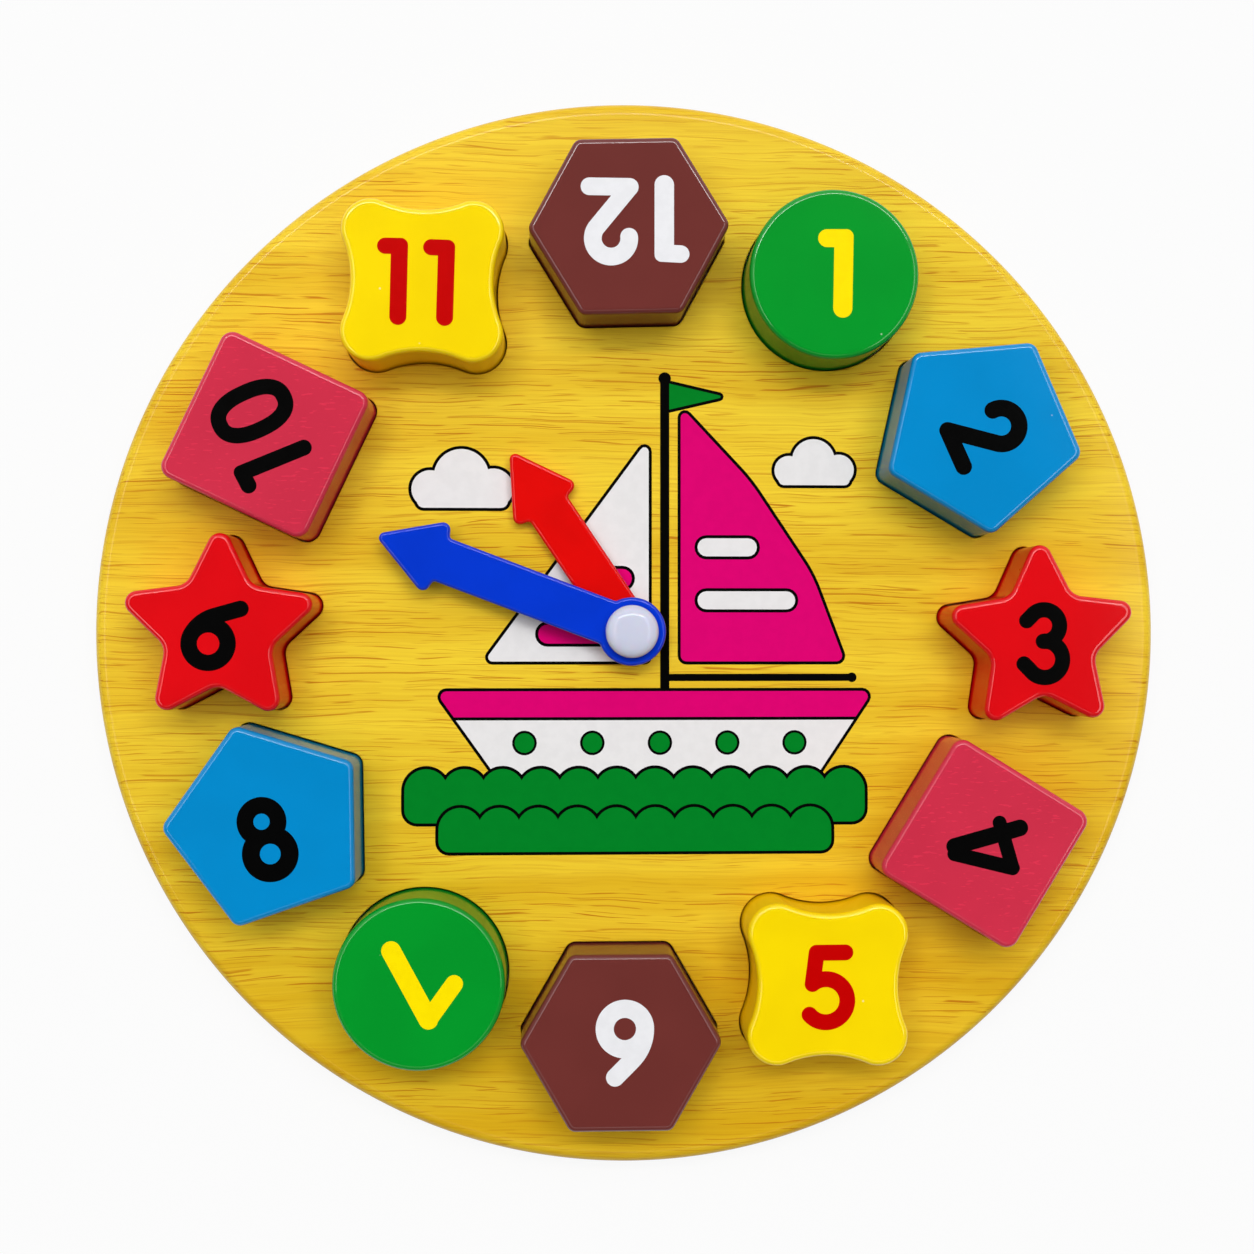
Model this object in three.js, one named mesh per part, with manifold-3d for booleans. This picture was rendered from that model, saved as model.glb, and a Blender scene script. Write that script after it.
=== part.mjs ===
// Wooden puzzle clock. A round board holds a ring of twelve numbered blocks in six shapes, each of which
// lifts out of its own recess, and two plastic hands turn on a domed pin at the centre.
// Sizes are in millimetres. The board lies on its back: +Z points out of the dial, +Y points to twelve
// o'clock, and the origin is the centre of the board's back.
import * as THREE from 'three';
import { mergeVertices } from 'three/addons/utils/BufferGeometryUtils.js';
import Module from 'manifold-3d';

// Boards
const backBoardThickness = 3;
const faceBoardThickness = 6;
const faceEdgeRadius = 2.5;
const backEdgeRadius = 1;
const rimWidth = 6.67;

// Blocks and their recesses
const blockThickness = 18;
const blockEdgeRadius = 1.2;
const blockGap = 0.69;
const recessClearance = 0.8;
const hexagonRadius = 20.3;
const hexagonRounding = 2;
const circleRadius = 17.1;
const pentagonRadius = 21;
const pentagonRounding = 2.2;
const starTipRadius = 22.3;
const starNotchRadius = 11;
const starTipRounding = 2.4;
const starNotchRounding = 3.5;
const squareSide = 31.8;
const squareRounding = 2.6;
const scallopHalfWidth = 16.2;
const scallopDip = 2;
const scallopLobeRadius = 6;

// Hands. A hand is measured to the corner that the rounding of its tip trims off.
const minuteHandGap = 4.6;
const hourHandStep = 11;
const handThickness = 2;
const handEdgeRadius = 0.5;
const handWidth = 9.3;
const handHeadLength = 14.6;
const handHeadWidth = 16.2;
const handBarbSweep = 0.9;
const handTipRounding = 1.2;
const handBarbRounding = 1.5;
const handShoulderRounding = 0.8;
const hubRadius = 7;
const minuteHandTurn = 159.3;
const hourHandTurn = 124;

// Pivot pin, its washers and the cap that holds it
const washerThickness = 0.5;
const washerRadius = 5;
const shankRadius = 2;
const shankClearance = 0.3;
const shankChamfer = 0.3;
const headRadius = 5.4;
const headRim = 0.5;
const headCrown = 2.4;
const headClearance = 0.25;
const capRadius = 6.2;
const capClearance = 0.3;
const capSink = 0.25;
const capFloor = 0.6;
const capSeatWeb = 1;

// How finely round shapes are divided
const cornerSteps = 3;
const sideSteps = 4;
const circleSteps = 32;
const boardSteps = 72;
const pinSteps = 24;
const edgeSteps = 2;
const rimSteps = 3;
const crownSteps = 5;

// What a cut runs past the faces that it goes through
const overrun = 1;

// Heights of the stack, from the table up
const seatHeight = backBoardThickness;
const faceHeight = seatHeight + faceBoardThickness;
const hourHandHeight = faceHeight + washerThickness;
const handWasherHeight = hourHandHeight + handThickness;
const minuteHandHeight = handWasherHeight + washerThickness;
const headHeight = minuteHandHeight + handThickness + headClearance;
const capTop = backBoardThickness - capSeatWeb;
const shankBottom = capSink + capFloor + shankClearance;
const shankBore = shankRadius + shankClearance;

const fullTurn = 2 * Math.PI;
const hours = 12;
const radians = THREE.MathUtils.degToRad;
const { Manifold, Mesh: SolidMesh } = await loadManifold();

async function loadManifold() {
  const wasm = await Module();
  wasm.setup();
  return wasm;
}

// An outline is a ring of arcs, walked anticlockwise, with straight edges between them. A bulging arc
// turns anticlockwise and a hollow one clockwise.
function arc(centre, radius, from, sweep, steps) {
  return { centre, radius, from, sweep, steps };
}

// The points of an outline, moved out by grow all the way round
function outlinePoints(arcs, grow = 0) {
  return arcs.flatMap(({ centre, radius, from, sweep, steps }) => {
    const size = radius + Math.sign(sweep) * grow;
    const whole = Math.abs(sweep) === fullTurn;
    return Array.from({ length: whole ? steps : steps + 1 }, (_, i) => {
      const turn = from + (sweep * i) / steps;
      return new THREE.Vector2(size * Math.cos(turn), size * Math.sin(turn)).add(centre);
    });
  });
}

// The arc that rounds one corner of a polygon
function fillet(before, corner, after, radius) {
  const back = before.clone().sub(corner).normalize();
  const ahead = after.clone().sub(corner).normalize();
  const half = Math.acos(back.dot(ahead)) / 2;
  const inward = back.clone().add(ahead).normalize();
  const centre = corner.clone().addScaledVector(inward, radius / Math.sin(half));
  const start = corner.clone().addScaledVector(back, radius / Math.tan(half)).sub(centre);
  const end = corner.clone().addScaledVector(ahead, radius / Math.tan(half)).sub(centre);
  const sweep = Math.atan2(start.cross(end), start.dot(end));
  return arc(centre, radius, start.angle(), sweep, cornerSteps);
}

// A closed polygon with each corner rounded by its own radius
function roundedPolygon(corners, radii) {
  return corners.map((corner, i) => {
    const after = corners[(i + 1) % corners.length];
    return fillet(corners.at(i - 1), corner, after, radii[i]);
  });
}

function polar(radius, turn) {
  return new THREE.Vector2(radius * Math.cos(turn), radius * Math.sin(turn));
}

// A regular polygon whose first corner points at the angle first
function regularPolygon(sides, radius, rounding, first) {
  const corners = Array.from({ length: sides }, (_, i) => polar(radius, first + (fullTurn * i) / sides));
  return roundedPolygon(corners, corners.map(() => rounding));
}

function star() {
  const points = 5;
  const corners = [];
  const radii = [];
  for (let i = 0; i < 2 * points; i += 1) {
    const tip = i % 2 === 0;
    corners.push(polar(tip ? starTipRadius : starNotchRadius, Math.PI / 2 + (Math.PI * i) / points));
    radii.push(tip ? starTipRounding : starNotchRounding);
  }
  return roundedPolygon(corners, radii);
}

// A square whose corners are round lobes and whose sides are shallow hollows that meet them smoothly
function scallop() {
  const lobe = scallopLobeRadius;
  const lobeCentre = scallopHalfWidth - lobe;
  const waist = lobe - scallopDip;
  const sideRadius = (lobeCentre ** 2 + waist ** 2 - lobe ** 2) / (2 * scallopDip);
  const sideCentre = scallopHalfWidth - scallopDip + sideRadius;
  const spread = Math.atan2(lobeCentre, sideCentre - lobeCentre);
  const arcs = [];
  for (let quarter = 0; quarter < 4; quarter += 1) {
    const turn = (quarter * Math.PI) / 2;
    const origin = new THREE.Vector2();
    const side = new THREE.Vector2(sideCentre, 0).rotateAround(origin, turn);
    const corner = new THREE.Vector2(lobeCentre, lobeCentre).rotateAround(origin, turn);
    arcs.push(arc(side, sideRadius, Math.PI + spread + turn, -2 * spread, sideSteps));
    arcs.push(arc(corner, lobe, turn - spread, Math.PI / 2 + 2 * spread, 2 * cornerSteps));
  }
  return arcs;
}

// A hand: a round hub, a straight shaft and a broad arrowhead, pointing along +X
function hand(length) {
  const shaft = handWidth / 2;
  const barb = handHeadWidth / 2;
  const shoulder = length - handHeadLength;
  const spread = Math.asin(shaft / hubRadius);
  const hubEdge = hubRadius * Math.cos(spread);
  const corners = [
    new THREE.Vector2(hubEdge, -shaft),
    new THREE.Vector2(shoulder, -shaft),
    new THREE.Vector2(shoulder + handBarbSweep, -barb),
    new THREE.Vector2(length, 0),
    new THREE.Vector2(shoulder + handBarbSweep, barb),
    new THREE.Vector2(shoulder, shaft),
    new THREE.Vector2(hubEdge, shaft),
  ];
  const sideRadii = [handShoulderRounding, handBarbRounding];
  const radii = [...sideRadii, handTipRounding, ...sideRadii.toReversed()];
  const hub = arc(new THREE.Vector2(), hubRadius, spread, fullTurn - 2 * spread, circleSteps);
  const rest = radii.map((radius, i) => fillet(corners[i], corners[i + 1], corners[i + 2], radius));
  return [hub, ...rest];
}

const hexagon = regularPolygon(6, hexagonRadius, hexagonRounding, 0);
const circle = [arc(new THREE.Vector2(), circleRadius, 0, fullTurn, circleSteps)];
const pentagon = regularPolygon(5, pentagonRadius, pentagonRounding, 0);
const fivePointStar = star();
const square = regularPolygon(4, squareSide / Math.SQRT2, squareRounding, Math.PI / 4);
const scallopedSquare = scallop();

const brown = 0x6e332f;
const green = 0x03992b;
const blue = 0x018bcc;
const red = 0xdf0a14;
const pink = 0xd0324c;
const yellow = 0xfedc03;
const stainedWood = 0xe6b82a;
const plywood = 0xd8b88a;
const white = 0xd7dade;
const naturalWhite = 0xe4e4e0;
const handRed = 0xde0000;
const handBlue = 0x0032c8;

// The blocks as they lie in the ring. lean is how far a block's place is from its hour, clockwise, and
// turn is how far its shape is turned, anticlockwise, both in degrees. ringShare is its distance from
// the centre as a share of the ring's radius.
const blocks = [
  { shape: circle, paint: green, lean: -0.6, ringShare: 1.004, turn: 0 },
  { shape: pentagon, paint: blue, lean: 0.2, ringShare: 0.989, turn: -12.6 },
  { shape: fivePointStar, paint: red, lean: 1.2, ringShare: 1.008, turn: 1.6 },
  { shape: square, paint: pink, lean: 1.1, ringShare: 1.008, turn: -31.5 },
  { shape: scallopedSquare, paint: yellow, lean: 1.1, ringShare: 0.985, turn: -0.5 },
  { shape: hexagon, paint: brown, lean: 1.7, ringShare: 1, turn: 0 },
  { shape: circle, paint: green, lean: 1.3, ringShare: 0.999, turn: 0 },
  { shape: pentagon, paint: blue, lean: 2, ringShare: 0.998, turn: 181 },
  { shape: fivePointStar, paint: red, lean: 0.2, ringShare: 1, turn: -0.6 },
  { shape: square, paint: pink, lean: -1.9, ringShare: 1.009, turn: -25.3 },
  { shape: scallopedSquare, paint: yellow, lean: -1.1, ringShare: 0.993, turn: -0.6 },
  { shape: hexagon, paint: brown, lean: -0.6, ringShare: 0.988, turn: 1.7 },
];

// How far a shape's outline reaches from its centre
function reach(shape) {
  return Math.max(...outlinePoints(shape).map((point) => point.length()));
}

// The ring is as tight as the widest pair of neighbours lets it be, and the board ends a rim's width
// beyond the widest block.
const reaches = blocks.map(({ shape }) => reach(shape));
const widestReach = Math.max(...reaches);
const blockPitch = Math.max(...reaches.map((one, i) => one + reaches.at(i - 1))) + blockGap;
const ringRadius = blockPitch / (2 * Math.sin(Math.PI / hours));
const boardRadius = ringRadius + widestReach + rimWidth;
const minuteHandLength = ringRadius - widestReach - minuteHandGap;
const hourHandLength = minuteHandLength - hourHandStep;

// A slab with the given outline, standing on z = 0, with its edges rounded above and below
function roundedSlab(outline, thickness, edgeRadius, bore) {
  const shape = new THREE.Shape(outline);
  if (bore) shape.holes.push(new THREE.Path(bore));
  const geometry = new THREE.ExtrudeGeometry(shape, {
    depth: thickness - 2 * edgeRadius,
    bevelThickness: edgeRadius,
    bevelSize: edgeRadius,
    bevelOffset: -edgeRadius,
    bevelSegments: edgeSteps,
  });
  return geometry.translate(0, 0, edgeRadius);
}

// A body turned about Z. profile holds [radius, height] pairs, anticlockwise with the radius to the
// right, and either starts and ends on the axis or closes on itself.
function turned(profile, steps) {
  const points = profile.map(([radius, height]) => new THREE.Vector2(radius, height));
  return new THREE.LatheGeometry(points, steps).rotateX(Math.PI / 2);
}

// A quarter of a circle as profile points, anticlockwise from the angle from
function quarterRound(centreRadius, centreHeight, radius, from, steps) {
  return Array.from({ length: steps + 1 }, (_, i) => {
    const turn = from + (Math.PI / 2) * (i / steps);
    return [centreRadius + radius * Math.cos(turn), centreHeight + radius * Math.sin(turn)];
  });
}

function toSolid(geometry) {
  const bare = geometry.clone().deleteAttribute('normal').deleteAttribute('uv');
  const merged = mergeVertices(bare);
  const vertProperties = new Float32Array(merged.attributes.position.array);
  const triVerts = new Uint32Array(merged.index.array);
  return new Manifold(new SolidMesh({ numProp: 3, vertProperties, triVerts }));
}

function toGeometry(solid) {
  const { vertProperties, triVerts } = solid.getMesh();
  const geometry = new THREE.BufferGeometry();
  geometry.setAttribute('position', new THREE.BufferAttribute(vertProperties, 3));
  geometry.setIndex(new THREE.BufferAttribute(triVerts, 1));
  geometry.computeVertexNormals();
  return geometry;
}

function blockPlace({ lean, ringShare }, index) {
  const clock = (fullTurn * (index + 1)) / hours + radians(lean);
  const radius = ringRadius * ringShare;
  return new THREE.Vector2(radius * Math.sin(clock), radius * Math.cos(clock));
}

// Face board: a disc with a rounded rim, cut through by the twelve recesses and the pivot's bore
function faceBoard() {
  const rim = boardRadius - faceEdgeRadius;
  const shoulder = faceBoardThickness - faceEdgeRadius;
  const disc = turned([
    [shankBore, 0],
    [boardRadius, 0],
    ...quarterRound(rim, shoulder, faceEdgeRadius, 0, rimSteps),
    [shankBore, faceBoardThickness],
    [shankBore, 0],
  ], boardSteps);
  let board = toSolid(disc);
  blocks.forEach((block, index) => {
    const outline = new THREE.Shape(outlinePoints(block.shape, recessClearance));
    const depth = faceBoardThickness + 2 * overrun;
    const cutter = new THREE.ExtrudeGeometry(outline, { depth, bevelEnabled: false });
    const place = blockPlace(block, index);
    cutter.rotateZ(radians(block.turn)).translate(place.x, place.y, -overrun);
    board = board.subtract(toSolid(cutter));
  });
  return toGeometry(board);
}

// Back board: closes the recesses from behind, and its counterbore hides the pin's cap
function backBoard() {
  const counterbore = capRadius + capClearance;
  const rim = boardRadius - backEdgeRadius;
  return turned([
    [shankBore, capTop],
    [counterbore, capTop],
    [counterbore, 0],
    ...quarterRound(rim, backEdgeRadius, backEdgeRadius, -Math.PI / 2, edgeSteps),
    [boardRadius, backBoardThickness],
    [shankBore, backBoardThickness],
    [shankBore, capTop],
  ], boardSteps);
}

// Pivot pin: a low dome on a thin rim, with a shank that runs down through hands and boards
function pivotPin() {
  const crownBase = headHeight + headRim;
  const crown = Array.from({ length: crownSteps + 1 }, (_, i) => {
    const turn = (Math.PI / 2) * (i / crownSteps);
    return [headRadius * Math.cos(turn), crownBase + headCrown * Math.sin(turn)];
  });
  crown[crownSteps][0] = 0;
  return turned([
    [0, shankBottom],
    [shankRadius - shankChamfer, shankBottom],
    [shankRadius, shankBottom + shankChamfer],
    [shankRadius, headHeight],
    [headRadius, headHeight],
    ...crown,
  ], pinSteps);
}

// Rear cap: a flat button pushed over the end of the shank
function rearCap() {
  return turned([
    [0, capSink],
    [capRadius, capSink],
    [capRadius, capTop],
    [shankBore, capTop],
    [shankBore, capSink + capFloor],
    [0, capSink + capFloor],
  ], pinSteps);
}

function washer() {
  return turned([
    [shankBore, 0],
    [washerRadius, 0],
    [washerRadius, washerThickness],
    [shankBore, washerThickness],
    [shankBore, 0],
  ], pinSteps);
}

function handBody(length) {
  const bore = outlinePoints([arc(new THREE.Vector2(), shankBore, 0, fullTurn, pinSteps)]);
  return roundedSlab(outlinePoints(hand(length)), handThickness, handEdgeRadius, bore);
}

const lacquer = { roughness: 0.25, metalness: 0 };
const plastic = { roughness: 0.35, metalness: 0 };
const bareWood = { roughness: 0.7, metalness: 0 };

function piece(name, geometry, color, finish, height = 0) {
  const mesh = new THREE.Mesh(geometry, new THREE.MeshStandardMaterial({ color, ...finish }));
  mesh.name = name;
  mesh.position.z = height;
  return mesh;
}

const clock = new THREE.Group();
clock.add(piece('back_board', backBoard(), plywood, bareWood));
clock.add(piece('face_board', faceBoard(), stainedWood, lacquer, seatHeight));

blocks.forEach((block, index) => {
  const name = `block_${String(index + 1).padStart(2, '0')}`;
  const geometry = roundedSlab(outlinePoints(block.shape), blockThickness, blockEdgeRadius);
  const mesh = piece(name, geometry, block.paint, lacquer, seatHeight);
  const place = blockPlace(block, index);
  mesh.position.x = place.x;
  mesh.position.y = place.y;
  mesh.rotation.z = radians(block.turn);
  clock.add(mesh);
});

clock.add(piece('board_washer', washer(), naturalWhite, plastic, faceHeight));
clock.add(piece('hand_washer', washer(), naturalWhite, plastic, handWasherHeight));
clock.add(piece('pivot_pin', pivotPin(), white, plastic));
clock.add(piece('rear_cap', rearCap(), white, plastic));

const hourHand = piece('hour_hand', handBody(hourHandLength), handRed, plastic, hourHandHeight);
hourHand.rotation.z = radians(hourHandTurn);
clock.add(hourHand);

const minuteHand = piece('minute_hand', handBody(minuteHandLength), handBlue, plastic, minuteHandHeight);
minuteHand.rotation.z = radians(minuteHandTurn);
clock.add(minuteHand);

export default clock;
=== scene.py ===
"""Wooden puzzle clock: a round board, twelve numbered blocks in six shapes, and two hands on a pin."""

import math

import bmesh
import bpy
from bpy.props import FloatProperty, FloatVectorProperty, PointerProperty
from mathutils import Matrix, Vector
from mathutils.geometry import delaunay_2d_cdt


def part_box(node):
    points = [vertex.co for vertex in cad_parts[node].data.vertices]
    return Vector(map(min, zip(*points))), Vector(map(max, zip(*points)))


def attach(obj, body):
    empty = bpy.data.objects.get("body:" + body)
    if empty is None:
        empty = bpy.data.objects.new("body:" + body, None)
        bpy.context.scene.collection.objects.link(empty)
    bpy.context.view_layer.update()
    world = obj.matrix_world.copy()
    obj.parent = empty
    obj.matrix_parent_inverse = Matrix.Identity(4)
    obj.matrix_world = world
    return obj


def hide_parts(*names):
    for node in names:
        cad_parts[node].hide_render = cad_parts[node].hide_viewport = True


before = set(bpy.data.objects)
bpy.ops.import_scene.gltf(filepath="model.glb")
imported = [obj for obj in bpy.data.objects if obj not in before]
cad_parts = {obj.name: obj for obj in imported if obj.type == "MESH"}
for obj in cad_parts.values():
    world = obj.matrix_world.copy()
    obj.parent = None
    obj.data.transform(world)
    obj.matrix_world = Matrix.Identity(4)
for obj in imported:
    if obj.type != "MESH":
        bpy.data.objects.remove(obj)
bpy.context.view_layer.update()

bl_info = {
    "name": "Wooden puzzle clock",
    "version": (1, 0, 0),
    "blender": (4, 5, 0),
    "location": "View3D > Sidebar > Clock",
    "description": "Builds a wooden puzzle clock with lift-out numbered blocks and two hands",
    "category": "Add Mesh",
}

MM = 0.001
FULL_TURN = 2 * math.pi
QUARTER_TURN = math.pi / 2

# How closely the points of an outline lie, the shortest edge that it keeps, and how far a support point
# stands from a rounding
POINT_SPACING = 0.4 * MM
SHORTEST_EDGE = 0.01 * MM
SUPPORT = 0.3 * MM

# Points nearer than WELD are one, and a radius or angle under TINY is none
WELD = 0.004 * MM
TINY = 1e-6

# Radius on an edge that is glued against another piece
GLUED_EDGE = 0.05 * MM

# The blocks round the ring: shape, paint and turn in degrees, from one o'clock on
BLOCKS = (
    ("circle", "green", 0.0),
    ("pentagon", "blue", -12.6),
    ("star", "red", 1.6),
    ("square", "pink", -31.5),
    ("scallop", "yellow", -0.5),
    ("hexagon", "brown", 0.0),
    ("circle", "green", 0.0),
    ("pentagon", "blue", 181.0),
    ("star", "red", -0.6),
    ("square", "pink", -25.3),
    ("scallop", "yellow", -0.6),
    ("hexagon", "brown", 1.7),
)


# Sizes and colours that a user would change


def size(name, description, millimetres):
    return FloatProperty(
        name=name,
        description=description,
        default=millimetres * MM,
        min=0.0,
        precision=5,
        unit="LENGTH",
    )


def turn(name, description, degrees):
    return FloatProperty(
        name=name, description=description, default=math.radians(degrees), unit="ROTATION"
    )


def share(name, description, value):
    return FloatProperty(name=name, description=description, default=value, min=0.0, max=1.0)


def plain(name, description, value):
    return FloatProperty(name=name, description=description, default=value)


def paint(name, description, red, green, blue):
    return FloatVectorProperty(
        name=name,
        description=description,
        size=3,
        min=0.0,
        max=1.0,
        default=(red / 255, green / 255, blue / 255),
        subtype="COLOR_GAMMA",
    )


class ClockBoardSettings(bpy.types.PropertyGroup):
    rim_rounding: size("Rim rounding", "Radius on the board's upper edge", 2.5)
    recess_edge: size("Recess edge", "Radius on a recess's upper edge", 0.25)
    recess_clearance: size("Recess clearance", "Room between a block and its recess", 0.32)
    back_rounding: size("Back rounding", "Radius on the back board's lower edge", 1.0)
    counterbore: size("Counterbore", "Radius of the hole that hides the rear cap", 6.5)
    bore: size("Bore", "Radius of the hole for the pin's shank", 2.3)
    light_stain: paint("Light stain", "Yellow stain on pale wood", 243, 209, 51)
    deep_stain: paint("Deep stain", "Yellow stain on darker bands", 221, 175, 24)
    pore_stain: paint("Pores", "Stain gathered in the open pores", 190, 116, 10)
    ply_face: paint("Plywood face", "Sanded face of the back board", 222, 190, 142)
    ply_core: paint("Plywood core", "Cross layers at the back board's edge", 176, 132, 84)


class ClockBlockSettings(bpy.types.PropertyGroup):
    upper_edge: size("Upper edge", "Radius on a block's upper edge", 1.1)
    lower_edge: size("Lower edge", "Radius on a block's lower edge", 1.2)
    # Flecks: lighter marks on the pink blocks that are painted glints, with a real bump
    flecks: share("Flecks", "Strength of the brush flecks on the pink blocks", 0.35)
    hexagon_radius: size("Hexagon", "Centre to corner", 20.3)
    hexagon_rounding: size("Hexagon corners", "Corner radius", 2.0)
    circle_radius: size("Circle", "Radius", 17.1)
    pentagon_radius: size("Pentagon", "Centre to corner", 21.0)
    pentagon_rounding: size("Pentagon corners", "Corner radius", 2.2)
    star_tip: size("Star tips", "Centre to tip", 22.3)
    star_notch: size("Star notches", "Centre to notch", 11.0)
    star_tip_rounding: size("Tip rounding", "Radius on a tip", 2.4)
    star_notch_rounding: size("Notch rounding", "Radius in a notch", 3.5)
    square_side: size("Square", "Side", 31.8)
    square_rounding: size("Square corners", "Corner radius", 2.6)
    scallop_half: size("Scallop", "Half its width", 16.2)
    scallop_dip: size("Scallop dip", "Depth of its hollow sides", 2.0)
    scallop_lobe: size("Scallop lobes", "Radius of its corners", 6.0)
    brown: paint("Brown", "Lacquer", 112, 50, 46)
    green: paint("Green", "Lacquer", 3, 152, 42)
    blue: paint("Blue", "Lacquer", 1, 138, 204)
    red: paint("Red", "Lacquer", 224, 8, 18)
    pink: paint("Pink", "Lacquer", 208, 48, 74)
    yellow: paint("Yellow", "Lacquer", 254, 220, 2)


class ClockNumberSettings(bpy.types.PropertyGroup):
    relief: size("Relief", "How far the ink stands above the lacquer", 0.04)
    depth: size("Depth", "How far the ink reaches into the lacquer", 0.06)
    white: paint("White", "Ink", 235, 235, 238)
    yellow: paint("Yellow", "Ink", 255, 228, 0)
    black: paint("Black", "Ink", 4, 4, 4)
    red: paint("Red", "Ink", 196, 0, 0)


class ClockHandSettings(bpy.types.PropertyGroup):
    edge: size("Edge rounding", "Radius on a hand's edges", 0.7)
    bore_edge: size("Bore edge", "Radius on the bore's edges", 0.2)
    width: size("Shaft width", "Across the shaft", 9.3)
    head_length: size("Head length", "Shoulder to tip", 14.6)
    head_width: size("Head width", "Barb to barb", 16.2)
    barb_sweep: size("Barb sweep", "How far the barbs lean forward", 0.9)
    tip_rounding: size("Tip rounding", "Radius on the tip", 1.2)
    barb_rounding: size("Barb rounding", "Radius on the barbs", 1.5)
    shoulder_rounding: size("Shoulder rounding", "Radius in the shoulders", 0.8)
    hub_radius: size("Hub", "Radius of the round end", 7.0)
    hub_fillet: size("Hub fillet", "Radius between hub and shaft", 0.9)
    hour_turn: turn("Hour hand", "Turn from three o'clock, anticlockwise", 124.0)
    minute_turn: turn("Minute hand", "Turn from three o'clock, anticlockwise", 159.3)
    red: paint("Hour hand", "Moulded plastic", 224, 4, 2)
    blue: paint("Minute hand", "Moulded plastic", 0, 54, 206)


class ClockPivotSettings(bpy.types.PropertyGroup):
    head_radius: size("Head", "Radius of the domed head", 5.4)
    head_rim: size("Head rim", "Height of the head's upright rim", 0.5)
    head_clearance: size("Head clearance", "Room under the head", 0.25)
    fullness: plain("Fullness", "2 is an ellipse, more is flatter", 2.9)
    shank_radius: size("Shank", "Radius of the shank", 2.0)
    shank_chamfer: size("Shank chamfer", "Chamfer on the shank's end", 0.3)
    cap_floor: size("Cap floor", "Thickness of the rear cap's floor", 0.6)
    edge: size("Edge", "Radius on small edges", 0.12)
    head_white: paint("Head", "Glossy moulded plastic", 208, 211, 230)
    washer_white: paint("Washers", "Natural matt plastic", 228, 228, 224)


class ClockPictureSettings(bpy.types.PropertyGroup):
    relief: size("Relief", "How far the print stands above the wood", 0.03)
    depth: size("Depth", "How far the print reaches into the wood", 0.08)
    line: size("Line", "Width of the black outlines", 0.65)
    magenta: paint("Magenta", "Printed ink", 220, 0, 112)
    green: paint("Green", "Printed ink", 0, 128, 36)
    white: paint("White", "Printed ink", 230, 228, 228)
    black: paint("Black", "Printed ink", 4, 4, 4)


class ClockStageSettings(bpy.types.PropertyGroup):
    floor: paint("Floor", "Plain pale floor", 218, 218, 218)
    backdrop: share("Backdrop", "Share of plain white that the floor shows the camera", 0.9)
    sky_horizon: plain("Sky, horizon", "Strength", 0.1)
    sky_ring: plain("Sky, ring", "Strength round the zenith", 0.4)
    sky_zenith: plain("Sky, zenith", "Strength", 0.008)
    sky_below: plain("Sky, below", "Strength under the floor", 0.7)
    key: plain("Key lamp", "Radiance", 12.0)
    fill: plain("Fill lamp", "Radiance", 0.93)
    side: plain("Side lamps", "Radiance", 3.0)
    lens: plain("Lens", "Focal length in millimetres", 42.74)


# Outlines in the plane. An arc is (centre, radius, start, sweep); straight edges join the arcs, and the
# ring of arcs runs anticlockwise. A bulging arc sweeps anticlockwise and a hollow one clockwise.


def polar(radius, angle):
    return Vector((radius * math.cos(angle), radius * math.sin(angle)))


def arc_points(arc, steps):
    centre, radius, start, sweep = arc
    whole = abs(sweep) > FULL_TURN - TINY
    count = steps if whole else steps + 1
    return [centre + polar(radius, start + sweep * i / steps) for i in range(count)]


def outline(arcs, grow=0.0, spacing=POINT_SPACING, support=SUPPORT):
    """The points of a ring of arcs, moved out by grow all the way round, with support points on the
    straight edges."""
    points = []
    for centre, radius, start, sweep in arcs:
        grown = radius + grow * math.copysign(1.0, sweep)
        steps = max(4, math.ceil(abs(sweep) * grown / spacing))
        points += arc_points((centre, grown, start, sweep), steps)
    made = []
    for here, after in zip(points, points[1:] + points[:1]):
        reach = (after - here).length
        if reach < SHORTEST_EDGE:
            continue
        made.append(here)
        if support and reach > 4 * support:
            made.append(here.lerp(after, support / reach))
            made.append(here.lerp(after, 1 - support / reach))
    return made


def fillet(before, corner, after, radius):
    """The arc that rounds a corner between two straight edges."""
    back = (before - corner).normalized()
    ahead = (after - corner).normalized()
    half = math.acos(back.dot(ahead)) / 2
    centre = corner + (back + ahead).normalized() * (radius / math.sin(half))
    start = corner + back * (radius / math.tan(half)) - centre
    end = corner + ahead * (radius / math.tan(half)) - centre
    sweep = math.atan2(start.cross(end), start.dot(end))
    return centre, radius, math.atan2(start.y, start.x), sweep


def rounded_polygon(corners, radii):
    corners = [Vector(corner) for corner in corners]
    return [
        fillet(corners[i - 1], corner, corners[(i + 1) % len(corners)], radii[i])
        for i, corner in enumerate(corners)
    ]


def regular_polygon(sides, radius, rounding, first):
    corners = [polar(radius, first + FULL_TURN * i / sides) for i in range(sides)]
    return rounded_polygon(corners, [rounding] * sides)


def circle(radius, x=0.0, y=0.0):
    return [(Vector((x, y)), radius, 0.0, FULL_TURN)]


def star(settings):
    corners = []
    radii = []
    for i in range(5):
        angle = QUARTER_TURN + FULL_TURN * i / 5
        corners += [polar(settings.star_tip, angle), polar(settings.star_notch, angle + math.pi / 5)]
        radii += [settings.star_tip_rounding, settings.star_notch_rounding]
    return rounded_polygon(corners, radii)


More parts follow.
